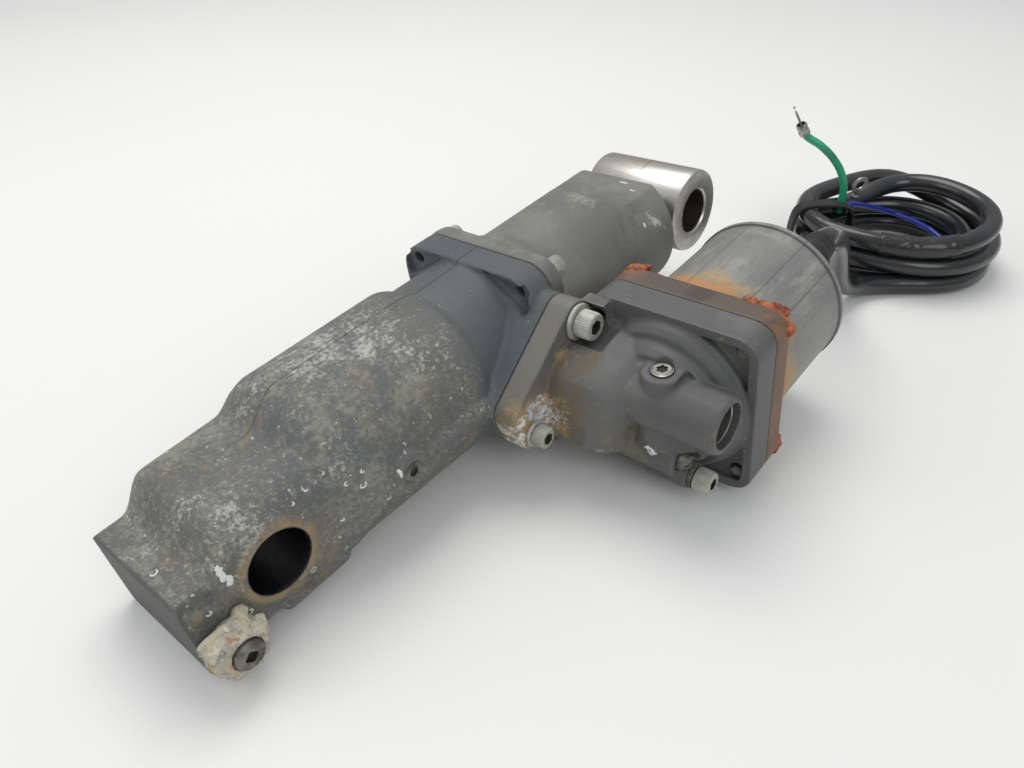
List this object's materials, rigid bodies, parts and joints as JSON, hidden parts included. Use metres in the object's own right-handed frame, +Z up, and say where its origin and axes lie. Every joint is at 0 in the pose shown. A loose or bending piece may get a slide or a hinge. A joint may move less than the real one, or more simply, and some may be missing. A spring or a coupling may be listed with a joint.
{
  "type": "electro-hydraulic tilt cylinder",
  "caption": "Hydraulic tilt cylinder with a rod eye, a lower pin bore, a bolted-on gear pump housing, a parallel electric motor and its tied cable.",
  "frame": {"origin": "under the middle of the unit's box, on the flat surface that it lies on", "axes": "+Z up from the surface; +Y along the cylinder towards the rod eye (the cylinder is tipped up 5.2 degrees); +X towards the pump and motor (which lie 5.1 degrees low)"},
  "size_m": [0.2134, 0.5485, 0.0981],
  "materials": {
    "lower_casting": "weathered dark grey paint on cast aluminium, stained and chalky",
    "upper_casting": "worn grey paint on cast aluminium",
    "pump_casting": "worn grey paint on cast aluminium",
    "adapter": "brown stained metal",
    "motor_paint": "streaked grey paint on steel",
    "polished_steel": "polished stainless steel with light brown tarnish",
    "steel": "machined steel",
    "fastener": "dull pale zinc plating",
    "anode_zinc": "crusted sacrificial zinc",
    "copper": "copper",
    "bronze": "bearing bronze",
    "magnet": "ferrite",
    "carbon": "carbon brush",
    "seal_rubber": "black rubber",
    "cable_jacket": "glossy black PVC",
    "earth_insulation": "green PVC insulation",
    "tinned": "tinned copper"
  },
  "bodies": {
    "housing": {"lower_cylinder": "lower_casting", "upper_cylinder": "upper_casting", "joint_o_ring": "seal_rubber", "cylinder_sleeve": "steel", "rod_guide": "bronze", "rod_seal": "seal_rubber", "rod_wiper": "seal_rubber", "flange_screw_1": "fastener", "flange_screw_2": "fastener", "flange_screw_3": "fastener", "flange_screw_4": "fastener", "anode": "anode_zinc", "anode_screw": "fastener", "drain_plug": "fastener", "pump_housing": "pump_casting", "mount_bolt_upper": "fastener", "mount_washer_upper": "fastener", "mount_bolt_near": "fastener", "mount_washer_near": "fastener", "mount_bolt_low": "fastener", "mount_washer_low": "fastener", "filler_plug": "polished_steel", "port_ring": "steel", "keeper_plate": "steel", "keeper_bolt": "fastener", "pump_body": "steel", "pump_cover": "steel", "adapter_plate": "adapter", "motor_screw_1": "fastener", "motor_screw_2": "fastener", "motor_screw_3": "fastener", "motor_screw_4": "fastener", "shaft_seal": "seal_rubber", "drive_bearing": "steel", "motor_can": "motor_paint", "motor_end_cap": "motor_paint", "magnet_left": "magnet", "magnet_right": "magnet", "brush_left": "carbon", "brush_right": "carbon", "rear_bearing": "steel", "cable_gland": "seal_rubber", "cable_lead": "cable_jacket", "cable_coil": "cable_jacket", "ground_wire": "earth_insulation", "ground_terminal": "tinned"},
    "rod": {"piston_rod": "polished_steel", "rod_eye": "polished_steel", "piston": "steel", "piston_seal": "seal_rubber", "piston_nut": "fastener"},
    "floating_piston": {"free_piston": "steel"},
    "armature": {"armature_shaft": "steel", "armature_core": "steel", "armature_winding": "copper", "commutator": "copper", "drive_coupling": "steel", "drive_gear": "steel"},
    "driven_gear": {"idler_gear": "steel"},
    "manual_valve": {"release_valve": "steel"}
  },
  "joints": [
    {"name": "rod_slide", "type": "slide", "parent": "housing", "child": "rod", "axis": [0, 0.9959, 0.091], "range_m": [0, 0.16]},
    {"name": "floating_piston_slide", "type": "slide", "parent": "housing", "child": "floating_piston", "axis": [0, 0.9959, 0.091], "range_m": [0, 0.16]},
    {"name": "armature_spin", "type": "hinge", "parent": "housing", "child": "armature", "pos_m": [0.04816, 0.07752, 0.04892], "axis": [0, 0.9959, 0.091], "continuous": true},
    {"name": "driven_gear_spin", "type": "hinge", "parent": "housing", "child": "driven_gear", "pos_m": [0.04679, 0.02236, 0.05919], "axis": [0, 0.9959, 0.091], "continuous": true},
    {"name": "release_valve_turn", "type": "hinge", "parent": "housing", "child": "manual_valve", "pos_m": [0.06289, 0.00801, 0.02716], "axis": [0.996, -0.0081, 0.089], "range_deg": [0, 810]}
  ],
  "couplings": [
    {"joint": "floating_piston_slide", "follows": "rod_slide", "ratio": 1},
    {"joint": "driven_gear_spin", "follows": "armature_spin", "ratio": -1}
  ]
}
